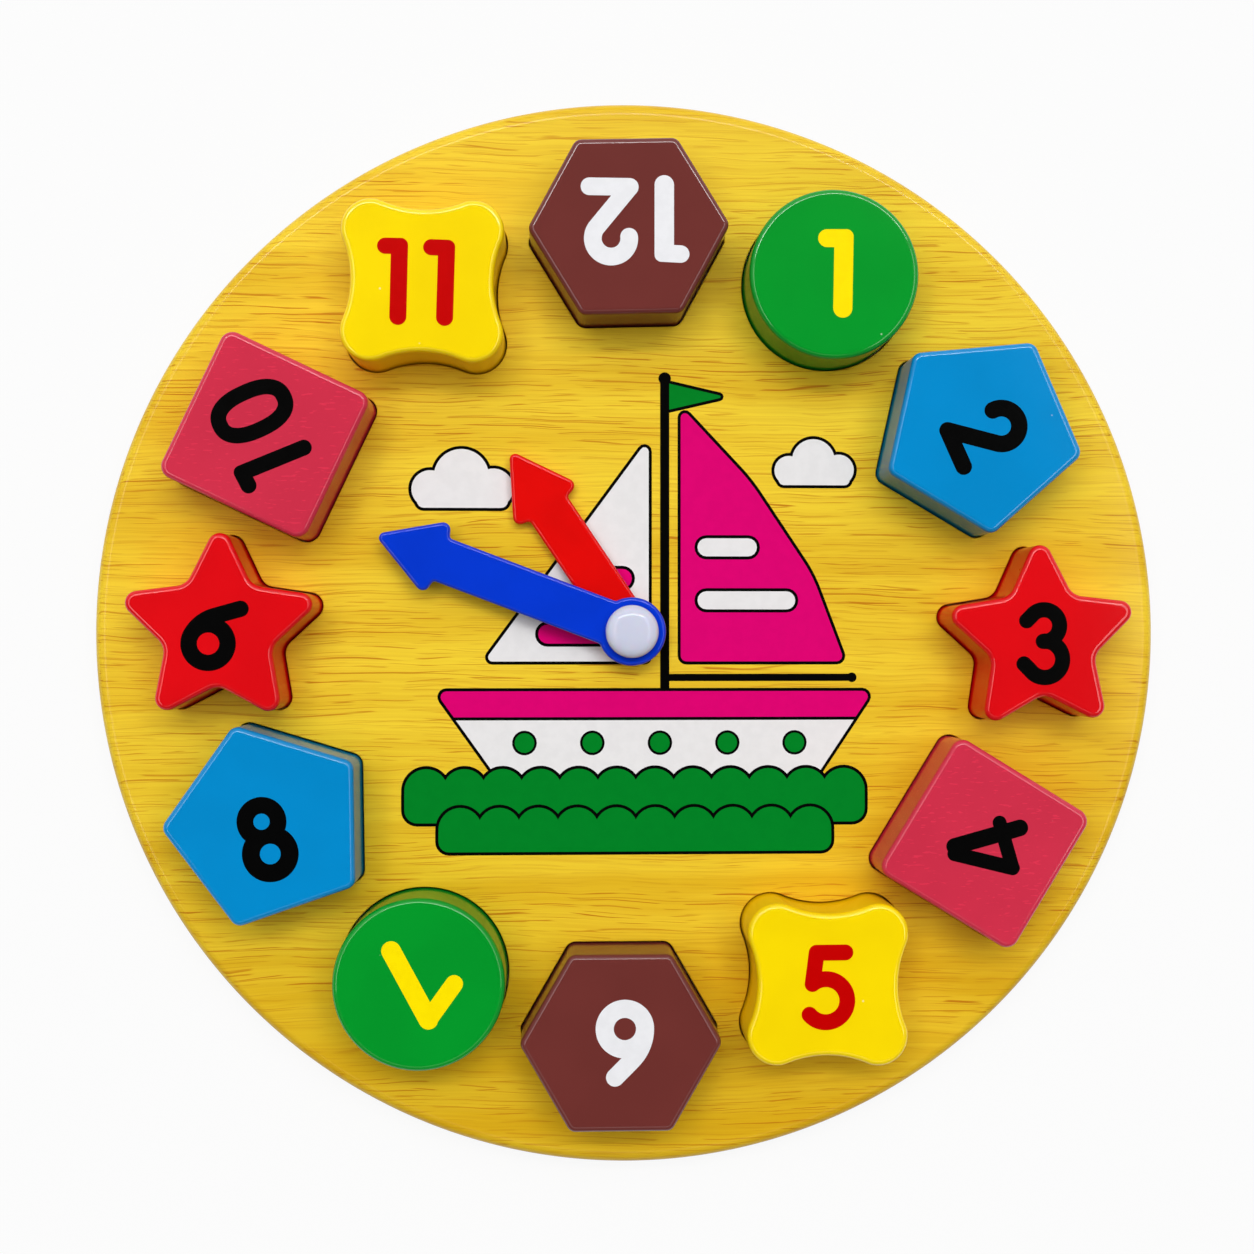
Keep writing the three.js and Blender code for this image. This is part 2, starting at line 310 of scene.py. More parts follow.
def scallop(settings):
    """A square whose corners are round lobes and whose sides are shallow hollows."""
    lobe = settings.scallop_lobe
    lobe_centre = settings.scallop_half - lobe
    waist = lobe - settings.scallop_dip
    side = (lobe_centre**2 + waist**2 - lobe**2) / (2 * settings.scallop_dip)
    side_centre = settings.scallop_half - settings.scallop_dip + side
    spread = math.atan2(lobe_centre, side_centre - lobe_centre)
    arcs = []
    for quarter in range(4):
        angle = quarter * QUARTER_TURN
        rotation = Matrix.Rotation(angle, 2)
        hollow = rotation @ Vector((side_centre, 0))
        corner = rotation @ Vector((lobe_centre, lobe_centre))
        arcs.append((hollow, side, math.pi + spread + angle, -2 * spread))
        arcs.append((corner, lobe, angle - spread, QUARTER_TURN + 2 * spread))
    return arcs


def block_outline(shape, settings):
    if shape == "circle":
        return circle(settings.circle_radius)
    if shape == "star":
        return star(settings)
    if shape == "scallop":
        return scallop(settings)
    sides, radius, first = {
        "hexagon": (6, settings.hexagon_radius, 0.0),
        "pentagon": (5, settings.pentagon_radius, 0.0),
        "square": (4, settings.square_side / math.sqrt(2), math.pi / 4),
    }[shape]
    return regular_polygon(sides, radius, getattr(settings, f"{shape}_rounding"), first)


def hand_outline(settings, length):
    """A round hub, a straight shaft and a broad arrowhead, pointing along +X."""
    shaft = settings.width / 2
    barb = settings.head_width / 2
    shoulder = length - settings.head_length
    hub = settings.hub_radius
    hollow = settings.hub_fillet
    neck = math.sqrt((hub + hollow) ** 2 - (shaft + hollow) ** 2)
    spread = math.atan2(shaft + hollow, neck)
    corners = [
        Vector((neck, -shaft)),
        Vector((shoulder, -shaft)),
        Vector((shoulder + settings.barb_sweep, -barb)),
        Vector((length, 0)),
        Vector((shoulder + settings.barb_sweep, barb)),
        Vector((shoulder, shaft)),
        Vector((neck, shaft)),
    ]
    side = [settings.shoulder_rounding, settings.barb_rounding]
    radii = [*side, settings.tip_rounding, *reversed(side)]
    head = [fillet(*corners[i : i + 3], radius) for i, radius in enumerate(radii)]
    bend = QUARTER_TURN - spread
    return [
        (Vector((0, 0)), hub, spread, FULL_TURN - 2 * spread),
        (Vector((neck, -shaft - hollow)), hollow, math.pi - spread, -bend),
        *head,
        (Vector((neck, shaft + hollow)), hollow, -QUARTER_TURN, -bend),
    ]


def hand_length(name, settings):
    """Length of a hand's outline up to the corner that the rounding of its tip trims off."""
    reach = max(Vector(v.co[:2]).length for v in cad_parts[name].data.vertices)
    shoulder_to_tip = settings.head_length - settings.barb_sweep
    half_angle = math.atan2(settings.head_width / 2, shoulder_to_tip)
    return reach + settings.tip_rounding * (1 / math.sin(half_angle) - 1)


def placed(points, place, angle=0.0):
    rotation = Matrix.Rotation(angle, 2)
    return [rotation @ point + place for point in points]


def node_places():
    """Centre of each block, from the corners of its CAD node."""
    places = []
    for hour in range(1, len(BLOCKS) + 1):
        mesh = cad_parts[f"block_{hour:02d}"].data
        spots = {(round(v.co.x, 6), round(v.co.y, 6)) for v in mesh.vertices}
        places.append(Vector([sum(spot[k] for spot in spots) / len(spots) for k in range(2)]))
    return places


def block_points(settings, grow=0.0):
    """The points of each block's outline in its place, moved out by grow."""
    return [
        placed(outline(block_outline(shape, settings), grow), place, math.radians(angle))
        for (shape, _, angle), place in zip(BLOCKS, node_places())
    ]


# Node trees


class Field:
    """A node socket on which ordinary arithmetic builds maths nodes."""

    def __init__(self, tree, socket):
        self.tree = tree
        self.socket = socket

    def maths(self, operation, *others):
        made = node(self.tree, "ShaderNodeMath", operation=operation)
        for socket, value in zip(made.inputs, (self, *others)):
            feed(self.tree, value, socket)
        return Field(self.tree, made.outputs[0])

    def __add__(self, other):
        return self.maths("ADD", other)

    def __sub__(self, other):
        return self.maths("SUBTRACT", other)

    def __mul__(self, other):
        return self.maths("MULTIPLY", other)

    def __truediv__(self, other):
        return self.maths("DIVIDE", other)

    def __neg__(self):
        return self * -1.0

    def clamped(self, low, high):
        return self.maths("MAXIMUM", low).maths("MINIMUM", high)

    def equals(self, other):
        return self.maths("COMPARE", other, 0.5)

    def above(self, other):
        return self.maths("GREATER_THAN", other)

    def ramp(self, low, high):
        """Nought below low, one above high, smooth between."""
        made = node(self.tree, "ShaderNodeMapRange", interpolation_type="SMOOTHSTEP")
        for socket, value in zip(made.inputs, (self, low, high, 0.0, 1.0)):
            feed(self.tree, value, socket)
        return Field(self.tree, made.outputs[0])


def feed(tree, value, socket):
    if isinstance(value, Field):
        value = value.socket
    if isinstance(value, bpy.types.NodeSocket):
        tree.links.new(value, socket)
    else:
        socket.default_value = value


def node(tree, kind, values=None, **settings):
    made = tree.nodes.new(kind)
    for name, value in settings.items():
        setattr(made, name, value)
    for name, value in (values or {}).items():
        feed(tree, value, made.inputs[name])
    return made


def output(tree, kind, values=None, **settings):
    """The first output of a new node."""
    return node(tree, kind, values, **settings).outputs[0]


def split(tree, vector):
    """The X, Y and Z of a vector."""
    parts = node(tree, "ShaderNodeSeparateXYZ", {"Vector": vector}).outputs
    return [Field(tree, part) for part in parts]


def seen_by(tree, *rays):
    """One for rays of these kinds and nought for others."""
    paths = node(tree, "ShaderNodeLightPath").outputs
    seen = Field(tree, paths[f"Is {rays[0]} Ray"])
    for ray in rays[1:]:
        seen = seen.maths("MAXIMUM", paths[f"Is {ray} Ray"])
    return seen


# Rounded slabs: blocks, hands and the face board

SLAB_SIZES = ("Top", "Base", "Upper edge", "Lower edge", "Hole upper", "Hole lower", "Support")


def slab_profile(tree, index, top, base, upper, lower, steps, support):
    """Profile curve of a slab's side, from the top face down to the bottom face. Its points are one for
    support, steps + 1 for the upper rounding, two for support, as many again for the lower rounding, and
    one for support."""
    upper_angle = (index - 1.0).clamped(0.0, steps) * QUARTER_TURN / steps
    lower_angle = (index - steps - 4.0).clamped(0.0, steps) * QUARTER_TURN / steps
    upper_in = upper * (upper_angle.maths("SINE") - 1.0)
    lower_in = lower * (lower_angle.maths("COSINE") - 1.0)
    ends = index.equals(0.0) + index.equals(steps * 2.0 + 5.0)
    out = upper_in + lower_in - support * ends
    upper_height = top + upper * (upper_angle.maths("COSINE") - 1.0)
    upper_height = upper_height - support * index.equals(steps + 2.0)
    lower_height = base - lower * (lower_angle.maths("SINE") - 1.0)
    lower_height = lower_height + support * index.equals(steps + 3.0)
    below = index.above(steps + 2.5)
    height = upper_height + (lower_height - upper_height) * below
    spot = output(tree, "ShaderNodeCombineXYZ", {"X": out, "Y": -height})
    count = steps * 2.0 + 6.0
    points = output(tree, "GeometryNodePoints", {"Count": count, "Position": spot})
    return output(tree, "GeometryNodePointsToCurves", {"Points": points})


def slab_cap(tree, curves, inset, height):
    normal = output(tree, "GeometryNodeInputNormal")
    offset = output(tree, "ShaderNodeVectorMath", {0: normal, "Scale": -inset}, operation="SCALE")
    moved = output(tree, "GeometryNodeSetPosition", {"Geometry": curves, "Offset": offset})
    filled = output(tree, "GeometryNodeFillCurve", {"Curve": moved})
    lift = output(tree, "ShaderNodeCombineXYZ", {"Z": height})
    return output(tree, "GeometryNodeSetPosition", {"Geometry": filled, "Offset": lift})


def slab_tree():
    """Geometry nodes that turn flat outlines into a slab with rounded edges. A point's loop attribute
    tells the outlines apart, and its hole attribute marks those that are cut through."""
    tree = bpy.data.node_groups.new("Rounded slab", "GeometryNodeTree")
    sockets = [("Geometry", "Geometry"), *[(name, "Float") for name in SLAB_SIZES]]
    for name, kind in (*sockets, ("Edge steps", "Int"), ("Finish", "Material")):
        tree.interface.new_socket(name, in_out="INPUT", socket_type=f"NodeSocket{kind}")
    tree.interface.new_socket("Geometry", in_out="OUTPUT", socket_type="NodeSocketGeometry")
    given = tree.nodes.new("NodeGroupInput").outputs
    sizes = [Field(tree, given[name]) for name in (*SLAB_SIZES, "Edge steps")]
    top, base, upper, lower, hole_upper, hole_lower, support, steps = sizes
    index = Field(tree, output(tree, "GeometryNodeInputIndex"))
    loop = output(tree, "GeometryNodeInputNamedAttribute", {"Name": "loop"}, data_type="INT")
    hole = output(tree, "GeometryNodeInputNamedAttribute", {"Name": "hole"}, data_type="FLOAT")
    is_hole = Field(tree, hole)
    points = output(tree, "GeometryNodeMeshToPoints", {"Mesh": given["Geometry"]})
    grouped = {"Points": points, "Curve Group ID": loop}
    curves = output(tree, "GeometryNodePointsToCurves", grouped)
    closed = output(tree, "GeometryNodeSetSplineCyclic", {"Geometry": curves, "Cyclic": True})
    level = output(tree, "GeometryNodeSetCurveNormal", {"Curve": closed}, mode="Z_UP")
    parted = {"Geometry": level, "Selection": is_hole.above(0.5)}
    sides = node(tree, "GeometryNodeSeparateGeometry", parted, domain="POINT").outputs
    parts = []
    for side, above, below in ((sides[1], upper, lower), (sides[0], hole_upper, hole_lower)):
        profile = slab_profile(tree, index, top, base, above, below, steps, support)
        wall = {"Curve": side, "Profile Curve": profile}
        parts.append(output(tree, "GeometryNodeCurveToMesh", wall))
    for outer, inner, height in ((upper, hole_upper, top), (lower, hole_lower, base)):
        inset = outer + (inner - outer) * is_hole + support
        parts.append(slab_cap(tree, level, inset, height))
    joined = node(tree, "GeometryNodeJoinGeometry")
    for part in parts:
        tree.links.new(part, joined.inputs[0])
    shell = {"Geometry": joined.outputs[0], "Distance": WELD}
    welded = output(tree, "GeometryNodeMergeByDistance", shell)
    smooth = output(tree, "GeometryNodeSetShadeSmooth", {"Geometry": welded})
    real = output(tree, "GeometryNodeRealizeInstances", {"Geometry": smooth})
    dressed = {"Geometry": real, "Material": given["Finish"]}
    end = tree.nodes.new("NodeGroupOutput")
    tree.links.new(output(tree, "GeometryNodeSetMaterial", dressed), end.inputs[0])
    return tree


def new_object(name, data):
    made = bpy.data.objects.new(name, data)
    bpy.context.scene.collection.objects.link(made)
    return made


def outline_mesh(name, loops):
    """A mesh of loose points in order, one loop after the other. A loop is (points, is it a hole)."""
    mesh = bpy.data.meshes.new(name)
    mesh.from_pydata([(*p, 0.0) for points, _ in loops for p in points], [], [])
    numbers = [i for i, (points, _) in enumerate(loops) for _ in points]
    holes = [float(hole) for points, hole in loops for _ in points]
    mesh.attributes.new("loop", "INT", "POINT").data.foreach_set("value", numbers)
    mesh.attributes.new("hole", "FLOAT", "POINT").data.foreach_set("value", holes)
    return mesh


def rounded_slab(name, loops, finish, **values):
    """A slab of the given outlines, made by the slab nodes. values are the tree's named inputs."""
    tree = bpy.data.node_groups.get("Rounded slab") or slab_tree()
    source = new_object(name + "_outline", outline_mesh(name + "_outline", loops))
    modifier = source.modifiers.new("Slab", "NODES")
    modifier.node_group = tree
    inputs = [item for item in tree.interface.items_tree if item.in_out == "INPUT"]
    keys = {item.name: item.identifier for item in inputs}
    for label, value in {**values, "support": SUPPORT, "finish": finish}.items():
        modifier[keys[label.replace("_", " ").capitalize()]] = value
    evaluated = source.evaluated_get(bpy.context.evaluated_depsgraph_get())
    mesh = bpy.data.meshes.new_from_object(evaluated)
    bpy.data.objects.remove(source)
    return finished(name, mesh, finish)


# Meshes


def finished(name, mesh, finish):
    """A closed, smooth piece from a mesh, with its faces turned outwards."""
    shape = bmesh.new()
    shape.from_mesh(mesh)
    bmesh.ops.remove_doubles(shape, verts=shape.verts, dist=WELD / 4)
    bmesh.ops.recalc_face_normals(shape, faces=shape.faces)
    open_edges = sum(1 for edge in shape.edges if not edge.is_manifold)
    if open_edges:
        raise RuntimeError(f"{name} has {open_edges} open edges")
    for face in shape.faces:
        face.smooth = True
        face.material_index = 0
    made = bpy.data.meshes.new(name)
    shape.to_mesh(made)
    shape.free()
    for layer in [a.name for a in made.attributes if a.name in ("loop", "hole")]:
        made.attributes.remove(made.attributes[layer])
    made.materials.clear()
    made.materials.append(finish)
    return new_object(name, made)


def rounded_corners(corners):
    """Profile points from (radius, height, rounding) corners, with support points by each rounding."""
    flat = [Vector(corner[:2]) for corner in corners]
    points = []
    for i, (*_, rounding) in enumerate(corners):
        if not rounding:
            points.append(flat[i])
            continue
        before, after = flat[i - 1], flat[(i + 1) % len(flat)]
        bend = arc_points(fillet(before, flat[i], after, rounding), 6)
        margin = min(rounding, SUPPORT)
        lead = bend[0] + (before - bend[0]).normalized() * margin
        trail = bend[-1] + (after - bend[-1]).normalized() * margin
        points += [lead, *bend, trail]
    return points


def turned(name, profile, finish, steps=128):
    """A body turned about Z from profile points (radius, height). Points on the axis close a pole."""
    shape = bmesh.new()
    rings = []
    for radius, height in profile:
        if radius < TINY:
            rings.append([shape.verts.new((0, 0, height))] * steps)
        else:
            ring = arc_points(*circle(radius), steps)
            rings.append([shape.verts.new((*p, height)) for p in ring])
    closed = profile[0][0] > TINY
    pairs = list(zip(rings, rings[1:]))
    if closed:
        pairs.append((rings[-1], rings[0]))
    for near, far in pairs:
        for i in range(steps):
            j = (i + 1) % steps
            corners = list(dict.fromkeys((near[i], near[j], far[j], far[i])))
            if len(corners) > 2:
                shape.faces.new(corners)
    mesh = bpy.data.meshes.new(name + "_turning")
    shape.to_mesh(mesh)
    shape.free()
    return finished(name, mesh, finish)


# Ink: flat shapes with a thin body


def disc(centre, radius):
    return arc_points(*circle(radius, *centre), 40)


def bar(start, end, width):
    start, end = Vector(start), Vector(end)
    side = (end - start).normalized().orthogonal() * (width / 2)
    return [start - side, end - side, end + side, start + side]


def limb(width, *points):
    """Straight bars from point to point, with a round end or joint at each point after the first."""
    parts = []
    for start, end in zip(points, points[1:]):
        parts += [bar(start, end, width), disc(end, width / 2)]
    return parts


def stroke(width, *points):
    """A limb with a round end at its first point too."""
    return [disc(points[0], width / 2), *limb(width, *points)]


def bend(centre, radius, start, end, width):
    """A curved stroke on a circle from one angle to another, both in degrees."""
    steps = max(6, math.ceil(abs(end - start) / 5))
    start, sweep = math.radians(start), math.radians(end - start)
    sides = [(Vector(centre), radius + side, start, sweep) for side in (-width / 2, width / 2)]
    inner, outer = (arc_points(side, steps) for side in sides)
    return inner + outer[::-1]


def miter(before, corner, after, width, next_width, rounding):
    """The outer part of a sharp corner between two strokes, with a small radius."""
    before, corner, after = Vector(before), Vector(corner), Vector(after)
    ahead, onward = (corner - before).normalized(), (after - corner).normalized()
    side = 1.0 if ahead.cross(onward) < 0 else -1.0
    first = Vector((-ahead.y, ahead.x)) * side * width / 2
    second = Vector((-onward.y, onward.x)) * side * next_width / 2
    tip = corner + first + ahead * ((second - first).cross(onward) / ahead.cross(onward))
    rounded = arc_points(fillet(corner + first, tip, corner + second, rounding), 8)
    return [corner, corner + first, *rounded, corner + second]


def tangent_angle(centre, radius, point):
    """Angle in degrees at which a line from point touches a circle on its right-hand side."""
    offset = Vector(point) - Vector(centre)
    return math.degrees(math.atan2(offset.y, offset.x) + math.acos(radius / offset.length))


def anticlockwise(polygon):
    area = sum(a.cross(b) for a, b in zip(polygon, polygon[1:] + polygon[:1]))
    return polygon if area > 0 else polygon[::-1]


def ink_regions(layers):
    """The triangles that each ink shows when the layers, (ink, polygons), are laid one on another."""
    points, faces, owners = [], [], []
    for level, (ink, polygons) in enumerate(layers):
        for polygon in polygons:
            ring = anticlockwise(polygon)
            faces.append(list(range(len(points), len(points) + len(ring))))
            points += ring
            owners.append((level, ink))
    inside, near = 1, 1e-5
    spots, _, triangles, _, _, sources = delaunay_2d_cdt(points, [], faces, inside, near)
    shown = {}
    for triangle, source in zip(triangles, sources):
        if source:
            ink = max(owners[i] for i in source)[1]
            shown.setdefault(ink, []).append(triangle)
    return spots, shown


def ink_piece(name, spots, triangles, base, top, finish):
    """A closed sheet of ink between two heights."""
    used = sorted({i for triangle in triangles for i in triangle})
    number = {old: new for new, old in enumerate(used)}
    count = len(used)
    vertices = [(*spots[i], height) for height in (base, top) for i in used]
    faces = []
    edges = set()
    for triangle in triangles:
        corners = [number[i] for i in triangle]
        faces.append([i + count for i in corners])
        faces.append(corners[::-1])
        edges |= set(zip(corners, corners[1:] + corners[:1]))
    for a, b in sorted(edges):
        if (b, a) not in edges:
            faces.append([a, b, b + count, a + count])
    mesh = bpy.data.meshes.new(name)
    mesh.from_pydata(vertices, [], faces)
    mesh.materials.append(finish)
    mesh.validate()
    return new_object(name, mesh)


# Numbers. Each glyph is a list of polygons in millimetres, upright, about its block's centre.


def two(hook, centre, radius, corner, foot, width):
    """A two: hook, bowl, slanting neck and foot."""
    offset = Vector(hook) - Vector(centre)
    start = math.degrees(math.atan2(offset.y, offset.x)) % 360
    leave = tangent_angle(centre, radius, corner)
    neck = Vector(centre) + polar(radius, math.radians(leave))
    return [
        disc(Vector(centre) + polar(radius, math.radians(start)), width / 2),
        bend(centre, radius, start, leave, width),
        *limb(width, neck, corner, foot),
    ]


def one(flag, corner, foot, width, flag_width, rounding=1.4):
    """A one: a short flag and a long stem that meet in a mitred corner."""
    return [
        disc(flag, flag_width / 2),
        bar(flag, corner, flag_width),
        miter(flag, corner, foot, flag_width, width, rounding),
        *limb(width, corner, foot),
    ]


def six(ring, radius, width, sweep_radius, tail):
    """A six: a ring and a tail that leaves its left side and straightens out to the right."""
    middle = Vector(ring) + Vector((sweep_radius - radius, 0))
    straight = middle + polar(sweep_radius, math.radians(135))
    end = straight + Vector((tail, tail)) / math.sqrt(2)
    return [
        bend(ring, radius, 0, 180, width),
        bend(ring, radius, 180, 360, width),
        bend(middle, sweep_radius, 180, 135, width),
        *limb(width, straight, end),
    ]


def three():
    """A three: two bowls with straight ends, which meet in a short bar."""
    width = 3.09
    upper, upper_radius = (0.1, 2.91), 3.19
    lower, lower_radius = (0.04, -3.87), 3.66
    upper_turn = Vector(upper) + polar(upper_radius, math.radians(140))
    lower_turn = Vector(lower) + polar(lower_radius, math.radians(-145))
    return [
        *stroke(width, (-3.39, 3.99), upper_turn),
        bend(upper, upper_radius, 140, -90, width),
        *limb(width, (0.1, -0.25), (-0.14, -0.25)),
        bend(lower, lower_radius, 90, -145, width),
        *stroke(width, lower_turn, (-4.19, -4.68)),
    ]


def four():
    left = (-6.15, -3.78)
    stem = stroke(3.36, (1.47, 6.17), (1.08, -7.55))
    return stem + stroke(2.94, (0.05, 6.61), left) + limb(2.84, left, (3.3, -3.93))


def five():
    """A five: its upper part is a one with a wide flag, and a bowl hangs on the foot."""
    width = 3.17
    bowl, radius = (-0.52, -3.03), 4.3
    hook = Vector(bowl) + polar(radius, math.radians(-139))
    upper = one((3.24, 6.63), (-2.53, 6.5), (-3.25, 0.27), width, width, 1.5)
    return [*upper, bend(bowl, radius, 130, -139, width), disc(hook, width / 2)]


def seven():
    vertex = (2.0, -6.77)
    return stroke(3.86, (-5.37, 6.87), vertex) + limb(3.52, vertex, (7.05, 0.25))


def eight():
    """An eight: two rings and a waist between their holes. joint is half the waist's angle."""
    rings = ((Vector((-1.07, 0.92)), 3.24, 3.28), (Vector((0.66, -5.44)), 3.79, 3.52))
    apart = rings[1][0] - rings[0][0]
    towards = math.degrees(math.atan2(apart.y, apart.x))
    waist = apart.length - sum(radius - width / 2 for _, radius, width in rings)
    joint = 18.0
    polygons = []
    for centre, radius, width in rings:
        far = towards + 180
        middle = radius - width / 2 + waist / 2
        polygons.append(bend(centre, radius, towards + joint, far, width))
        polygons.append(bend(centre, radius, far, towards + 360 - joint, width))
        polygons.append(bend(centre, middle, towards - joint - 1, towards + joint + 1, waist))
        towards = far
    return polygons


def signed_power(value, power):
    return math.copysign(abs(value) ** power, value)


def nought(centre, long_half, short_half, lean, width, power):
    """A nought: a stroke along a rounded oval whose long axis leans by an angle in degrees."""
    steps = 72
    rotation = Matrix.Rotation(math.radians(lean), 2)
    inner, outer = [], []
    for i in range(steps):
        angle = FULL_TURN * i / steps
        x = signed_power(math.cos(angle), 2 / power)
        y = signed_power(math.sin(angle), 2 / power)
        slope = Vector((signed_power(x, power - 1) / long_half, signed_power(y, power - 1) / short_half))
        side = slope.normalized() * (width / 2)
        spot = Vector((x * long_half, y * short_half))
        inner.append(rotation @ (spot - side) + Vector(centre))
        outer.append(rotation @ (spot + side) + Vector(centre))
    half = steps // 2
    first = inner[: half + 1] + outer[: half + 1][::-1]
    second = inner[half:] + inner[:1] + (outer[half:] + outer[:1])[::-1]
    return [first, second]


def numbers():
    """(ink, turn in degrees, polygons) of each block's number, from one o'clock on."""
    ten = nought((-2.33, 4.48), 6.85, 3.95, 25, 3.07, 2.4)
    ten += one((-2.99, -10.21), (-4.27, -7.71), (7.82, -2.68), 3.13, 3.13)
    eleven = one((-7.16, 6.68), (-4.34, 6.66), (-4.66, -7.33), 3.36, 3.2)
    eleven += one((1.93, 6.47), (4.96, 6.38), (4.57, -7.45), 3.36, 3.2)
    twelve = two((-0.05, 2.33), (3.7, 2.6), 3.63, (-0.35, -7.61), (7.68, -7.88), 3.53)
    twelve += one((-10.12, 6.0), (-6.84, 5.76), (-7.25, -7.89), 3.89, 3.49)
    return (
        ("yellow", 0.0, one((-1.57, 7.07), (1.83, 7.1), (1.58, -6.93), 3.87, 3.6)),
        ("black", -66.0, two((-3.15, 3.45), (0.59, 3.82), 3.61, (-3.0, -6.57), (4.93, -6.55), 3.37)),
        ("black", 1.6, three()),
        ("black", 107.0, four()),
        ("red", -1.0, five()),
        ("white", 180.0, six((-0.73, -2.99), 4.01, 3.6, 8.8, 4.77)),
        ("yellow", 0.0, seven()),
        ("black", 0.0, eight()),
        ("black", -29.4, six((-0.25, -3.24), 3.8, 3.22, 7.6, 5.23)),
        ("black", 0.0, ten),
        ("red", 0.0, eleven),
        ("white", 181.7, twelve),
    )


# Picture: a sailing boat on waves, in millimetres about the board's centre


def outlined(ink, arcs_list, line):
    """Layers that draw shapes, given by their arcs, as one patch with a black line round it."""
    grown = [outline(arcs, line / 2, 0.8, 0.0) for arcs in arcs_list]
    shrunk = [outline(arcs, -line / 2, 0.8, 0.0) for arcs in arcs_list]
    return [("black", grown), (ink, shrunk)]


def pill(left, right, y, height):
    """A flat bar with round ends."""
    radius = height / 2
    corners = [(left, y - radius), (right, y - radius), (right, y + radius), (left, y + radius)]
    return rounded_polygon(corners, [radius * 0.98] * 4)


def cloud(x, y, scale):
    """Three puffs on a flat base."""
    spots = ((-6.4, -0.6, 4.2), (0.0, 2.0, 6.0), (6.6, -0.4, 4.4))
    puffs = [circle(r * scale, x + a * scale, y + b * scale) for a, b, r in spots]
    return [*puffs, pill(x - 9.5 * scale, x + 9.9 * scale, y - 3.0 * scale, 3.6 * scale)]


def waves(left, right, crest, depth, pitch, radius):
    """A band of water with round crests."""
    count = round((right - left - 2 * radius) / pitch)
    step = (right - left - 2 * radius) / count
    tops = [circle(radius, left + radius + i * step, crest - radius) for i in range(count + 1)]
    low = crest - radius - depth
    body = [(left, low), (right, low), (right, crest - radius), (left, crest - radius)]
    return [*tops, rounded_polygon(body, [min(depth / 2, 3.0), min(depth / 2, 3.0), 0.6, 0.6])]


def boat_picture(line):
    """Layers of the picture from the back to the front. line is the width of its black outlines."""
    mainsail = [(10.0, -6.5), (45.0, -6.5), (38.0, 12.0), (25.0, 31.5), (10.0, 47.5)]
    jib = [(-31.0, -6.5), (4.0, -6.5), (4.0, 41.0)]
    hull = [(-26.0, -33.0), (37.0, -33.0), (51.0, -12.0), (-41.0, -12.0)]
    strake = [(-36.7, -18.0), (47.0, -18.0), (51.0, -12.0), (-41.0, -12.0)]
    pennant = [(7.0, 45.5), (21.0, 48.8), (7.0, 52.0)]
    portholes = [circle(2.3, x, -23.0) for x in (-22.0, -8.0, 6.0, 20.0, 34.0)]
    mast = ("black", [bar((7, -12), (7, 52.5), 1.9), disc((7, 52.5), 1.3)])
    boom = ("black", [bar((7, -9.5), (46, -9.5), 1.5), disc((46, -9.5), 1.0)])
    return [
        *outlined("white", cloud(-35.0, 30.0, 1.0), line),
        *outlined("white", cloud(38.0, 34.0, 0.8), line),
        *outlined("green", [rounded_polygon(pennant, [0.6] * 3)], line),
        mast,
        *outlined("magenta", [rounded_polygon(mainsail, [1.5, 1.5, 30.0, 40.0, 1.2])], line),
        *outlined("white", [pill(13.5, 34.5, 6.5, 4.4), pill(13.5, 26.5, 17.5, 4.4)], line),
        *outlined("white", [rounded_polygon(jib, [1.2] * 3)], line),
        *outlined("magenta", [pill(-19.5, 0.5, -0.5, 4.6), pill(-10.5, 0.5, 11.0, 4.6)], line),
        boom,
        *outlined("white", [rounded_polygon(hull, [6.0, 6.0, 1.5, 1.5])], line),
        *outlined("magenta", [rounded_polygon(strake, [0.3, 0.3, 1.5, 1.5])], line),
        *outlined("green", portholes, line * 0.8),
        *outlined("green", waves(-47.0, 49.0, -28.0, 7.0, 8.0, 4.8), line),
        *outlined("green", waves(-40.0, 42.0, -36.0, 5.0, 8.2, 4.8), line),
    ]


# Finishes


def linear(colour):
    """Linear light from display values."""
    return [c / 12.92 if c <= 0.04045 else ((c + 0.055) / 1.055) ** 2.4 for c in colour]


def shaded(colour, factor=1.0):
    """A material's colour, lighter or darker by a factor."""
    return (*[min(1.0, c * factor) for c in linear(colour)], 1.0)


